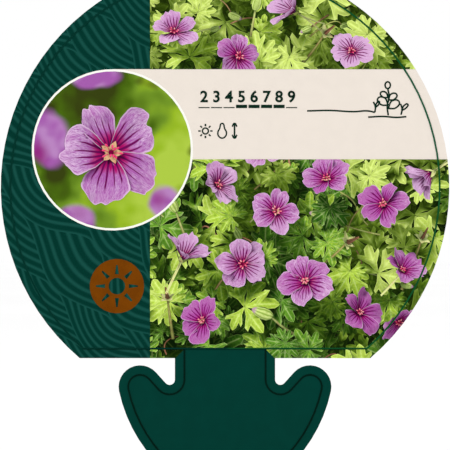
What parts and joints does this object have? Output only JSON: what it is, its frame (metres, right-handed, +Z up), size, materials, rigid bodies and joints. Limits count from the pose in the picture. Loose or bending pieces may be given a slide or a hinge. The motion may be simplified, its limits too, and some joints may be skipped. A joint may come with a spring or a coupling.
{
  "type": "plant label",
  "caption": "Printed plastic pot label: a round picture disc on a neck that slots into a pot rim, held by a barbed anchor-shaped tab, showing a flowering hardy geranium.",
  "frame": {"origin": "on the back face of the sheet, in the middle of the neck, level with the slot of the pot rim", "axes": "+Z up the label towards the top of the disc, +Y out of the back; the print faces -Y"},
  "size_m": [0.094, 0.0007, 0.1131],
  "materials": {
    "sheet_white": "white polypropylene sheet, fine-grained and half matt",
    "ink_tab_green": "dark green print, satin varnish",
    "ink_panel_green": "dark green print with fine tone-in-tone hatching, satin varnish",
    "ink_cream": "cream print, satin varnish",
    "ink_picture_ground": "printed picture of leaves, satin varnish",
    "ink_ring_white": "white ring, satin varnish",
    "ink_inset_ground": "printed soft green picture ground, satin varnish",
    "ink_bloom": "lilac-pink print with darker veins, satin varnish",
    "ink_eye": "magenta print, satin varnish",
    "ink_copper": "copper brown print, satin varnish",
    "ink_line_green": "dark green line, satin varnish",
    "ink_leaf_bright": "yellow-green print, satin varnish",
    "ink_leaf_dark": "mid green print, satin varnish"
  },
  "bodies": {
    "root": {"label_sheet": "sheet_white", "ink_tab_green": "ink_tab_green", "ink_panel_green": "ink_panel_green", "ink_band_cream": "ink_cream", "ink_picture_upper": "ink_picture_ground", "ink_picture_lower": "ink_picture_ground", "ink_inset_ring": "ink_ring_white", "ink_inset_ground": "ink_inset_ground", "ink_inset_bloom": "ink_bloom", "ink_inset_eye": "ink_eye", "ink_sun_badge": "ink_copper", "ink_border_line": "ink_line_green", "ink_leaf_01": "ink_leaf_dark", "ink_leaf_02": "ink_leaf_bright", "ink_leaf_03": "ink_leaf_dark", "ink_leaf_04": "ink_leaf_bright", "ink_leaf_05": "ink_leaf_dark", "ink_leaf_06": "ink_leaf_bright", "ink_leaf_07": "ink_leaf_dark", "ink_leaf_08": "ink_leaf_dark", "ink_leaf_09": "ink_leaf_dark", "ink_leaf_10": "ink_leaf_bright", "ink_leaf_11": "ink_leaf_bright", "ink_leaf_12": "ink_leaf_dark", "ink_leaf_13": "ink_leaf_dark", "ink_leaf_14": "ink_leaf_dark", "ink_leaf_15": "ink_leaf_dark", "ink_leaf_16": "ink_leaf_bright", "ink_leaf_17": "ink_leaf_dark", "ink_leaf_18": "ink_leaf_dark", "ink_leaf_19": "ink_leaf_dark", "ink_bloom_01": "ink_bloom", "ink_eye_01": "ink_eye", "ink_bloom_02": "ink_bloom", "ink_eye_02": "ink_eye", "ink_bloom_03": "ink_bloom", "ink_eye_03": "ink_eye", "ink_bloom_04": "ink_bloom", "ink_eye_04": "ink_eye", "ink_bloom_05": "ink_bloom", "ink_eye_05": "ink_eye", "ink_bloom_06": "ink_bloom", "ink_eye_06": "ink_eye", "ink_bloom_07": "ink_bloom", "ink_eye_07": "ink_eye", "ink_bloom_08": "ink_bloom", "ink_eye_08": "ink_eye", "ink_bloom_09": "ink_bloom", "ink_eye_09": "ink_eye", "ink_bloom_10": "ink_bloom", "ink_eye_10": "ink_eye", "ink_bloom_11": "ink_bloom", "ink_eye_11": "ink_eye", "ink_bloom_12": "ink_bloom", "ink_eye_12": "ink_eye", "ink_bloom_13": "ink_bloom", "ink_eye_13": "ink_eye", "ink_bloom_14": "ink_bloom", "ink_eye_14": "ink_eye"}
  },
  "joints": []
}
